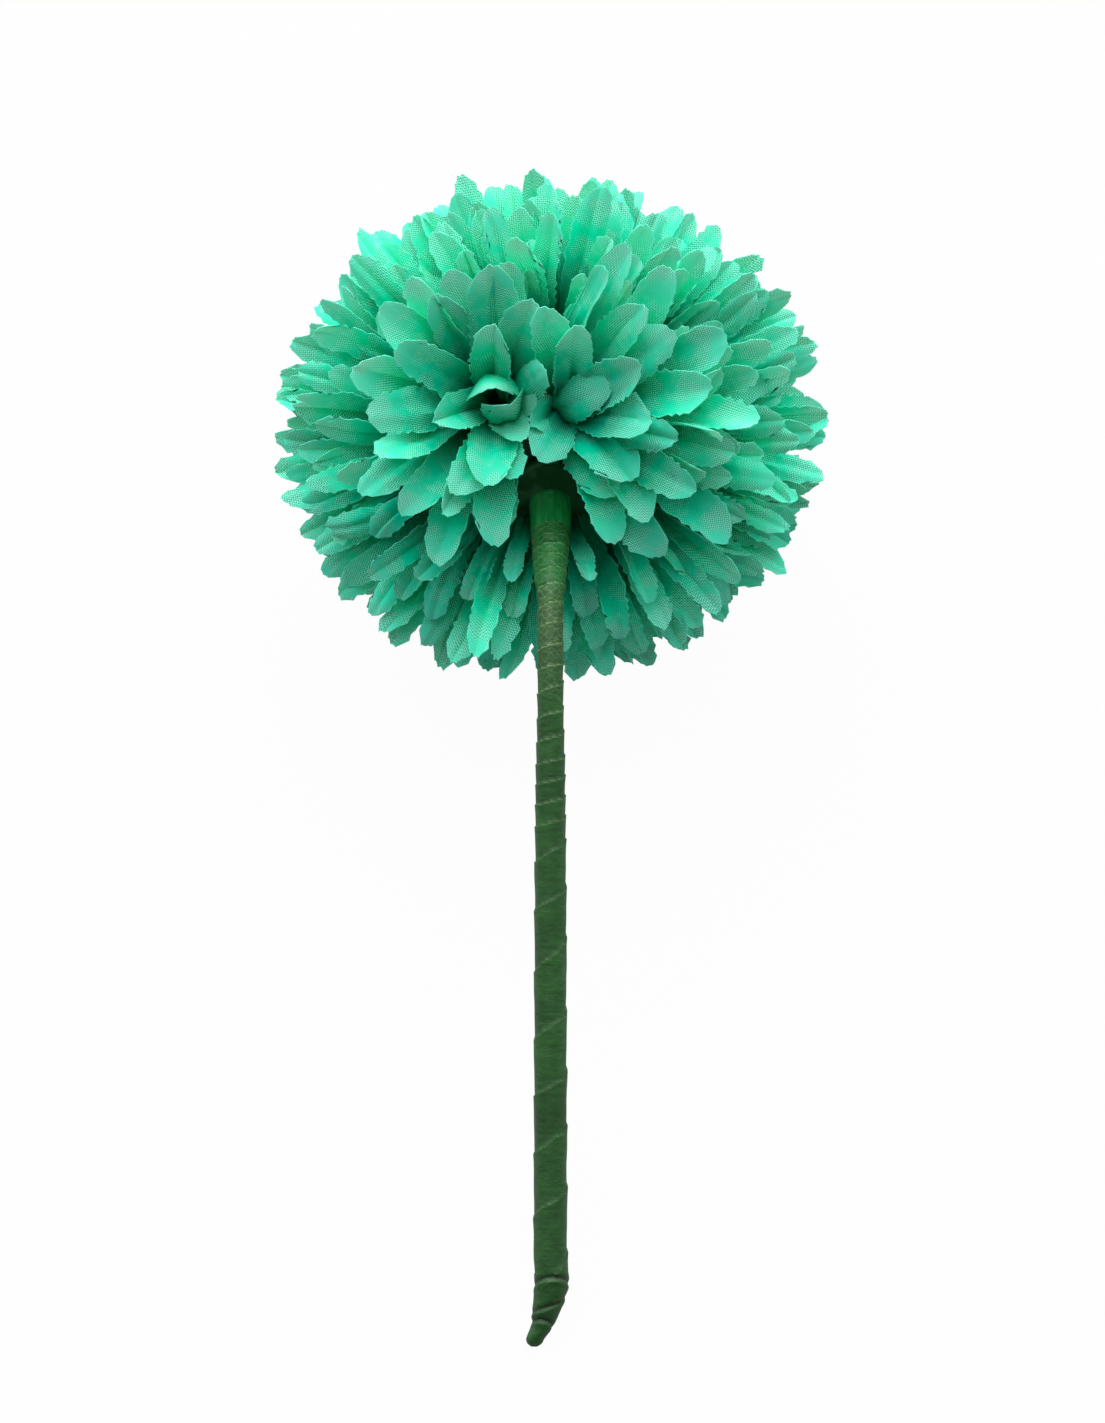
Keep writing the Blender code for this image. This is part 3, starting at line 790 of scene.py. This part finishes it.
def petal_length(root, way, reach):
    """Length to a share of the head's radius, or to just past the floor that the petal lies on."""
    length = 0.0
    offset = root - CENTRE
    while offset.length < head_reach(offset) * reach:
        length += LENGTH_STEP
        offset = root + way * length - CENTRE
    if CENTRE.z + offset.z < FLOOR_ZONE:
        return (root.z + FLOOR_CUT) / -way.z
    return length


def cluster_axes():
    """Axes of the petal clusters, spread over the head in rings round the socket."""
    chance = random.Random(SEED)
    for from_socket, number, first in CLUSTER_RINGS:
        for turn in range(number):
            azimuth = first + turn * 2 * pi / number
            wander = chance.uniform(-CLUSTER_WANDER, CLUSTER_WANDER)
            yield direction(from_socket + wander, azimuth + wander)


def facing(way, towards):
    """Unit vector at right angles to a way, as far towards another as that allows."""
    return (towards - way * towards.dot(way)).normalized()


def arched(chord_way, face, chord, bend):
    """Way, face and length at the root of a petal that arches back between the same two ends."""
    half = bend / 2
    way = cos(half) * chord_way + sin(half) * face
    turned_face = cos(half) * face - sin(half) * chord_way
    return way, turned_face, chord * half / sin(half)


def shaped(root, chord_way, face, chord, width, chance, least_bend=0.15):
    """Petal with its cut and form drawn at random."""
    bend = least_bend + chance.uniform(0.0, 0.65)
    way, face, length = arched(chord_way, face, chord, bend)
    return Petal(
        root, way, face, length, width,
        cup=chance.uniform(-0.25, 0.4),
        crease=chance.uniform(0.1, 0.6),
        bend=-bend,
        curl=chance.choice((0.5, 0.15, 0.1, 0.0, 0.0, -0.1, -0.15, -0.2)),
        twist=chance.uniform(-0.3, 0.3),
        flutter=chance.uniform(0.05, 0.2),
        pleat=chance.uniform(0.04, 0.22),
        slant=chance.uniform(-0.04, 0.04),
        blunt=chance.uniform(0.8, 1.2),
        chance=chance.random(),
    )


def on_head(right, up, reach):
    """Point on the ball of petal tips, on the viewer's side, from its place seen from there."""
    offset = ACROSS * right + VIEW_UP * up
    low, high = 0.0, HEAD_RADIUS
    for _ in range(20):
        depth = (low + high) / 2
        point = offset + TO_VIEWER * depth
        if point.length < head_reach(point) * reach:
            low = depth
        else:
            high = depth
    return CENTRE + offset + TO_VIEWER * low


def front_petals(heart, table, chance):
    """Listed petals round a heart that faces the viewer."""
    root = CENTRE + direction(*heart) * (CORE_RADIUS - PETAL_ROOT_DEPTH)
    for placed in table:
        tip = on_head(placed.right * MM, placed.up * MM, placed.reach)
        chord = tip - root
        chord_way = chord.normalized()
        towards = TO_VIEWER
        if placed.looks is not None:
            angle = radians(placed.looks)
            towards = ACROSS * cos(angle) + VIEW_UP * sin(angle)
        face = facing(chord_way, towards)
        face.rotate(Matrix.Rotation(radians(placed.roll), 3, chord_way))
        petal = shaped(root, chord_way, face, chord.length, placed.width * MM, chance)
        bend = radians(placed.bend)
        petal.way, petal.face, petal.length = arched(chord_way, face, chord.length, bend)
        petal.bend, petal.cup, petal.curl = -bend, placed.cup, placed.curl
        petal.crease, petal.blunt = placed.crease, placed.blunt
        petal.twist *= 0.3
        yield petal


def rim_petals(rows, chance):
    """Petals whose tips stand in rows round the head, with their faces turned to the viewer."""
    height = hypot(HEAD_POLAR_RADIUS * AXIS.dot(VIEW_UP), HEAD_RADIUS * UPWARD.dot(VIEW_UP))
    for share, depth, number, first, last, width, bend in rows:
        step = radians(last - first) / number
        for turn in range(number):
            angle = radians(first) + step * (turn + 0.5 + chance.uniform(-RIM_JITTER, RIM_JITTER))
            outline = 1 / hypot(cos(angle) / HEAD_RADIUS, sin(angle) / height)
            radial = ACROSS * cos(angle) + VIEW_UP * sin(angle)
            swell = 1 + LOW_SWELL * max(0.0, -sin(angle))
            tip = radial * outline * share * swell * chance.uniform(*RIM_REACH_SPREAD)
            tip += TO_VIEWER * depth * MM
            tip += TO_VIEWER * chance.uniform(*RIM_DEPTH_SPREAD) * MM
            if angle < 0 and share < STEM_ROWS and abs(tip.x) < STEM_CLEARANCE:
                tip.x = copysign(STEM_CLEARANCE, tip.x)
            nearer = copysign(RIM_ROOT * (1 - share), sin(angle))
            root = (radial + TO_VIEWER * (RIM_LEAN + nearer)).normalized()
            root *= CORE_RADIUS - PETAL_ROOT_DEPTH
            chord = tip - root
            face = facing(chord, TO_VIEWER)
            face.rotate(Matrix.Rotation(chance.uniform(*RIM_TURN_SPREAD), 3, chord))
            wide = width * MM * chance.uniform(*PETAL_WIDTH_SPREAD)
            yield shaped(CENTRE + root, chord.normalized(), face, chord.length, wide, chance, bend)


def laid_back(way):
    """Way of a petal tipped away from the pole that the petals are shingled round."""
    hinge = SHINGLE_POLE.cross(way)
    return Matrix.Rotation(LAID_BACK * hinge.length, 3, hinge) @ way


def layer_petals(axis, layers, chance, form):
    """Petals of one cluster, layer by layer, drawn as the solids draw them."""
    first_side = axis.orthogonal().normalized()
    second_side = axis.cross(first_side)
    for number, lean, root_angle, reach in layers:
        start = chance.uniform(0, 2 * pi)
        for turn in range(number):
            heading = start + (turn + chance.uniform(*PETAL_TURN_SPREAD)) * 2 * pi / number
            side = cos(heading) * first_side + sin(heading) * second_side
            tilt = lean * chance.uniform(*PETAL_LEAN_SPREAD)
            way = laid_back(cos(tilt) * axis + sin(tilt) * side)
            root_way = cos(root_angle) * axis + sin(root_angle) * side
            root = CENTRE + root_way * (CORE_RADIUS - PETAL_ROOT_DEPTH)
            length = petal_length(root, way, reach * REACH_SHARE * chance.uniform(*PETAL_REACH_SPREAD))
            width = PETAL_WIDTH * CUT_SHARE * chance.uniform(*PETAL_WIDTH_SPREAD)
            tip = root + way * length - CENTRE
            in_fan = tip.dot(VIEW_UP) < FAN_UP and tip.dot(TO_VIEWER) > FAN_DEPTH
            if in_fan or tip.angle(TO_VIEWER) < FRONT_ZONE:
                continue
            towards = facing(way, axis) * FACE_TO_AXIS + facing(way, SHINGLE_POLE)
            face = facing(way, towards)
            face.rotate(Matrix.Rotation(form.uniform(*FACE_TURN_SPREAD), 3, way))
            yield shaped(root, way, face, length, width, form)


def petal_cluster(number, petals, finish, chance):
    """One piece of many petals, with a thin wall."""
    cloth = bmesh.new()
    layers = {
        "petal": cloth.verts.layers.float_vector.new("petal"),
        "cloth": cloth.loops.layers.uv.new("cloth"),
    }
    for petal in petals:
        add_petal(cloth, petal, layers, chance)
    made = finished(f"petal_cluster_{number:02d}", cloth, finish, "bloom", 60)
    wall = made.modifiers.new("cloth thickness", "SOLIDIFY")
    wall.thickness = CLOTH_THICKNESS
    wall.offset = 0.0


def all_petals(finish):
    """Every cluster of the head, and the rows round its rim as one more."""
    solid_chance = random.Random(SEED)
    form = random.Random(SEED + 1)
    front = dict(zip(FRONT_CLUSTERS, ((RIGHT_HEART, RIGHT_PETALS), (LEFT_HEART, LEFT_PETALS))))
    for number, axis in enumerate(cluster_axes()):
        petals = list(layer_petals(axis, SOLID_LAYERS, solid_chance, form))
        if number in front:
            petals = front_petals(*front[number], form)
        else:
            petals += layer_petals(axis, ADDED_LAYERS, form, form)
        petal_cluster(number, petals, finish, form)
    petal_cluster(number + 1, rim_petals(RIM_ROWS, form), finish, form)


def turned(profile, segments, axis_origin, axis):
    """Closed body turned from (distance along the axis, radius) points that start and end on the axis."""
    body = bmesh.new()
    across = axis.orthogonal().normalized()
    points = [body.verts.new(axis_origin + axis * s + across * r) for s, r in profile]
    edges = [body.edges.new(pair) for pair in zip(points, points[1:])]
    whole = {"geom": points + edges, "angle": 2 * pi, "steps": segments, "use_merge": True}
    bmesh.ops.spin(body, cent=axis_origin, axis=axis, **whole)
    bmesh.ops.remove_doubles(body, verts=body.verts[:], dist=0.005 * MM)
    on_the_axis = [edge for edge in body.edges if not edge.link_faces]
    bmesh.ops.delete(body, geom=on_the_axis, context="EDGES")
    bmesh.ops.recalc_face_normals(body, faces=body.faces[:])
    return body


def arc(radius, start, end, steps):
    """Points of a circle round the head's centre, as (distance along the axis, radius)."""
    for step in range(steps + 1):
        angle = start + (end - start) * step / steps
        yield radius * cos(angle), radius * sin(angle)


def bloom_core(finish):
    """Stacked cloth under the petals, pleated all round, open round the neck."""
    outer = list(arc(CORE_RADIUS, CORE_OPENING, pi, 40))
    inner = list(arc(CORE_RADIUS - CORE_WALL, pi, CORE_OPENING, 40))
    body = turned(outer + inner + outer[:1], 96, CENTRE, AXIS)
    for corner in body.verts:
        offset = corner.co - CENTRE
        if offset.length > CORE_RADIUS - 0.2 * MM:
            pleat = noise.noise(offset / MM * 0.55) + 0.5 * noise.noise(offset / MM * 1.3)
            corner.co -= offset.normalized() * (CORE_PLEATS * (1 + pleat))
    return finished("bloom_core", body, finish, "bloom")


def moulding(finish):
    """Ball, neck, lobed collar and tapered tube, turned in one, with a gate mark on the tube."""
    ball = list(arc(BALL_RADIUS, pi, CORE_OPENING, 36))
    tube = []
    steps = 24
    for step in range(steps + 1):
        s = TUBE_START + TUBE_LIP + (TUBE_SHOULDER - TUBE_START - TUBE_LIP) * step / steps
        tube.append((s, TUBE_RADIUS + (TUBE_SHOULDER_RADIUS - TUBE_RADIUS) * step / steps))
    profile = ball + [
        (NECK_START, NECK_RADIUS),
        (COLLAR_BASE, NECK_RADIUS),
        (COLLAR_RIM, COLLAR_RADIUS),
        (COLLAR_RIM + 0.25 * MM, COLLAR_RADIUS + 0.1 * MM),
        (COLLAR_RIM + 0.5 * MM, COLLAR_RADIUS),
        (TUBE_START - 0.9 * MM, TUBE_RADIUS + 0.9 * MM),
        (TUBE_START - 0.3 * MM, TUBE_RADIUS + 0.1 * MM),
        (TUBE_START - 0.05 * MM, TUBE_RADIUS - 0.25 * MM),
        (TUBE_START, TUBE_RADIUS - 0.1 * MM),
        *tube,
        (TUBE_END, TUBE_END_RADIUS),
        (TUBE_END, 0.0),
    ]
    body = turned(profile, 96, CENTRE, AXIS)
    mark = CENTRE + AXIS * GATE_MARK_PLACE + UPWARD * TUBE_RADIUS
    out = body.verts.layers.float.new("out")
    for corner in body.verts:
        offset = corner.co - CENTRE
        along = offset.dot(AXIS)
        corner[out] = along
        aside = offset - AXIS * along
        if COLLAR_BASE < along < TUBE_START - 0.6 * MM and aside.length > NECK_RADIUS * 0.7:
            azimuth = atan2(aside.dot(ACROSS), aside.dot(UPWARD))
            corner.co += aside * (LOBE_SHARE * cos(COLLAR_LOBES * azimuth))
        near = (corner.co - mark).length / GATE_MARK_RADIUS
        if near < 3:
            corner.co -= UPWARD * (GATE_MARK_DEPTH * exp(-near ** 2))
    return finished("socket_moulding", body, finish, "receptacle", 30)


class StemLine:
    """Middle line of the stem: straight out of the socket, one bend down, straight to the floor."""

    def __init__(self):
        self.turn = SOCKET_RISE + STEM_DROP
        self.bend_length = STEM_BEND_RADIUS * self.turn
        bend_end = self.after_bend(0.0)
        self.run = (bend_end.z - TAIL_END_HEIGHT) / sin(STEM_DROP)
        self.length = STEM_BEND_START + self.bend_length + self.run

    def after_bend(self, distance):
        """Point on the straight run, a distance past the bend."""
        start = CENTRE + AXIS * STEM_BEND_START
        bend_centre = start - UPWARD * STEM_BEND_RADIUS
        end_normal = Vector((0.0, -sin(STEM_DROP), cos(STEM_DROP)))
        heading = Vector((0.0, -cos(STEM_DROP), -sin(STEM_DROP)))
        return bend_centre + end_normal * STEM_BEND_RADIUS + heading * distance

    def at(self, distance):
        """Point and upward normal at a distance from the head's centre."""
        if distance <= STEM_BEND_START:
            return CENTRE + AXIS * distance, UPWARD.copy()
        past = distance - STEM_BEND_START
        slope = SOCKET_RISE - min(past, self.bend_length) / STEM_BEND_RADIUS
        normal = Vector((0.0, sin(slope), cos(slope)))
        if past < self.bend_length:
            start = CENTRE + AXIS * STEM_BEND_START
            return start - UPWARD * STEM_BEND_RADIUS + normal * STEM_BEND_RADIUS, normal
        return self.after_bend(past - self.bend_length), normal


# Visible tape edges on the stem's +X side, as distances down the tape from its top
TAPE_EDGES = (
    1.9, 3.6, 5.6, 8.0, 10.6, 13.6, 16.8, 20.1, 23.2, 26.0, 29.8, 33.4, 37.0, 40.0, 43.0,
    46.0, 49.5, 56.5, 64.0, 75.0, 84.0, 92.0, 101.0, 111.0, 125.0,
)
TAPE_STEP = 0.17 * MM
TAPE_DENTS = 0.07 * MM
TAIL_DENTS = 0.05 * MM
TAPE_ROW = 0.25 * MM
TAPE_SIDES = 48
EDGE_SHADE = 0.3 * MM
# Tail: (distance before the end, shift towards +X, radius)
TAIL_FORM = in_metres((
    (13.0, 0.0, 2.50), (10.0, 0.2, 2.62), (8.6, 0.1, 2.55), (6.6, -0.25, 2.35), (4.9, -0.75, 2.08),
    (3.1, -1.15, 1.65), (2.0, -1.8, 1.52), (1.1, -2.3, 1.38), (0.4, -2.35, 1.12), (0.0, -2.4, 0.5),
))
# Folds in the tail: (distance before the end, rise per turn, arch, depth)
TAIL_FOLDS = in_metres((
    (10.6, 0.6, 2.6, 0.36),
    (6.2, 4.6, 0.0, 0.32),
    (4.2, -2.0, 1.8, 0.36),
))
FOLD_WIDTH = 0.42 * MM
FOLD_SHADE_SHARE = 0.7
# Raised roll below each fold: its height as a share of the fold's depth, and its place in fold widths
ROLL_SHARE = 0.45
ROLL_PLACE = 1.7


def tape_turns(past):
    """Turns of the tape down to a distance past its top."""
    edges = [(edge * MM, turn) for turn, edge in enumerate(TAPE_EDGES, start=1)]
    return between([(0.0, 0.2)] + edges, past)


def tape_lap(past, angle):
    """Share of the way from one tape edge to the next one down, which lap it is, and its height."""
    wobble = 0.05 * noise.noise(Vector((cos(angle), sin(angle), past / MM * 0.25)))
    turns = tape_turns(past) + angle / (2 * pi) - 0.25 + wobble
    height = MM / max(0.01, tape_turns(past + 0.5 * MM) - tape_turns(past - 0.5 * MM))
    return turns % 1.0, int(turns // 1), height


def tail_creases(before_end, angle):
    """How far a place is below each of the tail's creases, and how deep the crease is on that side."""
    for place, rise, arch, depth in TAIL_FOLDS:
        edge = place + rise * angle / (2 * pi) - arch * (1 - cos(angle)) / 2
        yield edge - before_end, depth * (0.5 + 0.5 * cos(angle))


def fold_shade(before_end, angle):
    """Painted shade of the tail's deepest crease at a place, from 0 to 1."""
    width = FOLD_SHADE_SHARE * FOLD_WIDTH
    return max(exp(-((below / width) ** 2)) for below, _ in tail_creases(before_end, angle))


def tape_radius(line, distance, angle):
    """Outer radius of the tape at a place round the stem, with its laps, dents and the tail's folds."""
    past = distance - TAPE_TOP
    before_end = line.length - distance
    lap, _, _ = tape_lap(past, angle)
    radius = between(STEM_PROFILE, past)
    rough = noise.noise(Vector((2 * cos(angle), 2 * sin(angle), past / MM * 0.3)))
    radius += TAPE_DENTS * rough
    if before_end > TAIL_LENGTH:
        step = TAPE_STEP * (0.5 - lap + 0.35 * exp(-lap / 0.06))
        return radius + step
    radius = between(tuple((-d, r) for d, _, r in TAIL_FORM), -before_end) + TAIL_DENTS * rough
    for below, depth in tail_creases(before_end, angle):
        radius -= depth * exp(-((below / FOLD_WIDTH) ** 2))
        radius += ROLL_SHARE * depth * exp(-((below / FOLD_WIDTH - ROLL_PLACE) ** 2))
    return radius


def tail_shift(line, distance):
    """How far the tail's middle is towards +X."""
    return between(tuple((-d, s) for d, s, _ in TAIL_FORM), distance - line.length)


def tape_sleeve(line, finish):
    """Tape wound down the stem: a grid rolled round the stem's line, closed at both ends."""
    start = TAPE_TOP
    rows = round((line.length - start) / TAPE_ROW)
    body = bmesh.new()
    wound = body.verts.layers.float_vector.new("wound")
    painted_crease_shade = body.verts.layers.float.new("painted_crease_shade")
    flat = body.loops.layers.uv.new("tape")
    grown = bmesh.ops.create_grid(body, x_segments=TAPE_SIDES, y_segments=rows, size=1.0)
    for corner in grown["verts"]:
        angle = corner.co.x * pi
        share = (corner.co.y + 1) / 2
        distance = start + (line.length - start) * share
        point, normal = line.at(distance)
        radius = tape_radius(line, distance, angle)
        outward = cos(angle) * normal + sin(angle) * ACROSS
        place = point + outward * radius + ACROSS * tail_shift(line, distance)
        lap, number, height = tape_lap(distance - start, angle)
        tone = random.Random(number).random()
        corner[wound] = Vector((distance - start, lap * height, tone))
        # Painted shade at the foot of each tape edge's step, and in the tail's creases.
        above_edge = exp(-(((1 - lap) * height / EDGE_SHADE) ** 2))
        corner[painted_crease_shade] = max(0.5 * above_edge, fold_shade(line.length - distance, angle))
        for loop in corner.link_loops:
            loop[flat].uv = (angle * radius, distance - start)
        corner.co = place
        corner.co.z = max(corner.co.z, 0.0)
    bmesh.ops.remove_doubles(body, verts=body.verts[:], dist=0.002 * MM)
    rims = [edge for edge in body.edges if edge.is_boundary]
    bmesh.ops.holes_fill(body, edges=rims, sides=0)
    bmesh.ops.recalc_face_normals(body, faces=body.faces[:])
    return finished("tape_sleeve", body, finish, "stem_tape", 50)


# Floor: its own grey, and the share of plain glow that it shows the camera
FLOOR_SIZE = 3.0
FLOOR_GREY = (0.45, 0.45, 0.45, 1)
FLOOR_GLOW = 0.97
# Surroundings: how far a direction rises in the picture, from and to, and the light's strength there
BACKLIGHT = (-0.25, 0.8, 0.0, 1.95)


def pale_floor(tree):
    """Grey paper that catches shadows and looks evenly lit from the camera's side."""
    paper = tree.node("ShaderNodeBsdfDiffuse", {"Color": FLOOR_GREY})
    glow = tree.node("ShaderNodeEmission", {"Color": (1.0, 1.0, 1.0, 1), "Strength": 1.0})
    seen = tree.node("ShaderNodeLightPath").outputs["Is Camera Ray"]
    both = {0: tree.times(seen, FLOOR_GLOW), 1: paper.outputs[0], 2: glow.outputs[0]}
    return tree.node("ShaderNodeMixShader", both).outputs[0]


def studio_floor():
    """Large sheet that the flower lies on."""
    sheet = bmesh.new()
    bmesh.ops.create_grid(sheet, x_segments=1, y_segments=1, size=FLOOR_SIZE)
    mesh = bpy.data.meshes.new("studio_floor")
    sheet.to_mesh(mesh)
    sheet.free()
    mesh.materials.append(material(pale_floor))
    floor = set_out("studio_floor", mesh)


def aimed(name, data, place, way):
    """Light or camera at a place, looking along a way."""
    made = set_out(name, data)
    made.location = place
    made.rotation_mode = "QUATERNION"
    made.rotation_quaternion = way.to_track_quat("-Z", "Y")
    return made


def soft_light(name, place, size, power):
    """Large square light turned to the head."""
    data = bpy.data.lights.new(name, "AREA")
    data.size = size
    data.energy = power
    aimed(name, data, CENTRE + Vector(place), -Vector(place))


def studio_light():
    """Pale surroundings, brighter behind the head than on the stem's side, and two soft lights."""
    world = bpy.data.worlds.new("studio")
    world.use_nodes = True
    tree = Tree(world.node_tree)
    way = tree.node("ShaderNodeTexCoord").outputs["Generated"]
    rise = tree.node("ShaderNodeVectorMath", {0: way, 1: VIEW_UP}, operation="DOT_PRODUCT").outputs["Value"]
    background = world.node_tree.nodes["Background"]
    tree.put(background.inputs["Strength"], tree.spread(rise, *BACKLIGHT))
    background.inputs["Color"].default_value = (1, 1, 1, 1)
    bpy.context.scene.world = world
    soft_light("overhead", (-0.1, 0.62, 0.78), size=0.9, power=8.5)
    soft_light("front", (-0.2, -0.2, 0.95), size=0.6, power=1.0)
    bpy.context.scene.view_settings.view_transform = "Standard"


def camera():
    """Camera at the photo's place, looking down on the flower from the stem's side."""
    data = bpy.data.cameras.new("camera")
    data.sensor_width = 36.0
    data.lens = data.sensor_width * PIXELS_PER_METRE * VIEW_DISTANCE / PHOTO_HEIGHT
    data.clip_start = 0.05
    right = (HEAD_PIXEL[0] - PHOTO_WIDTH / 2) / PIXELS_PER_METRE
    up = (PHOTO_HEIGHT / 2 - HEAD_PIXEL[1]) / PIXELS_PER_METRE
    place = CENTRE - ACROSS * right - VIEW_UP * up + TO_VIEWER * VIEW_DISTANCE
    bpy.context.scene.camera = aimed("camera", data, place, -TO_VIEWER)


def build():
    """Camera, light and floor, then the flower's pieces."""
    camera()
    studio_light()
    studio_floor()
    all_petals(material(petal_cloth))
    bloom_core(material(core_cloth))
    moulding(material(moulded_plastic))
    tape_sleeve(StemLine(), material(stretched_tape))
    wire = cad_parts["stem_wire"]
    wire.data.materials.clear()
    wire.data.materials.append(material(green_wire_coat))


build()
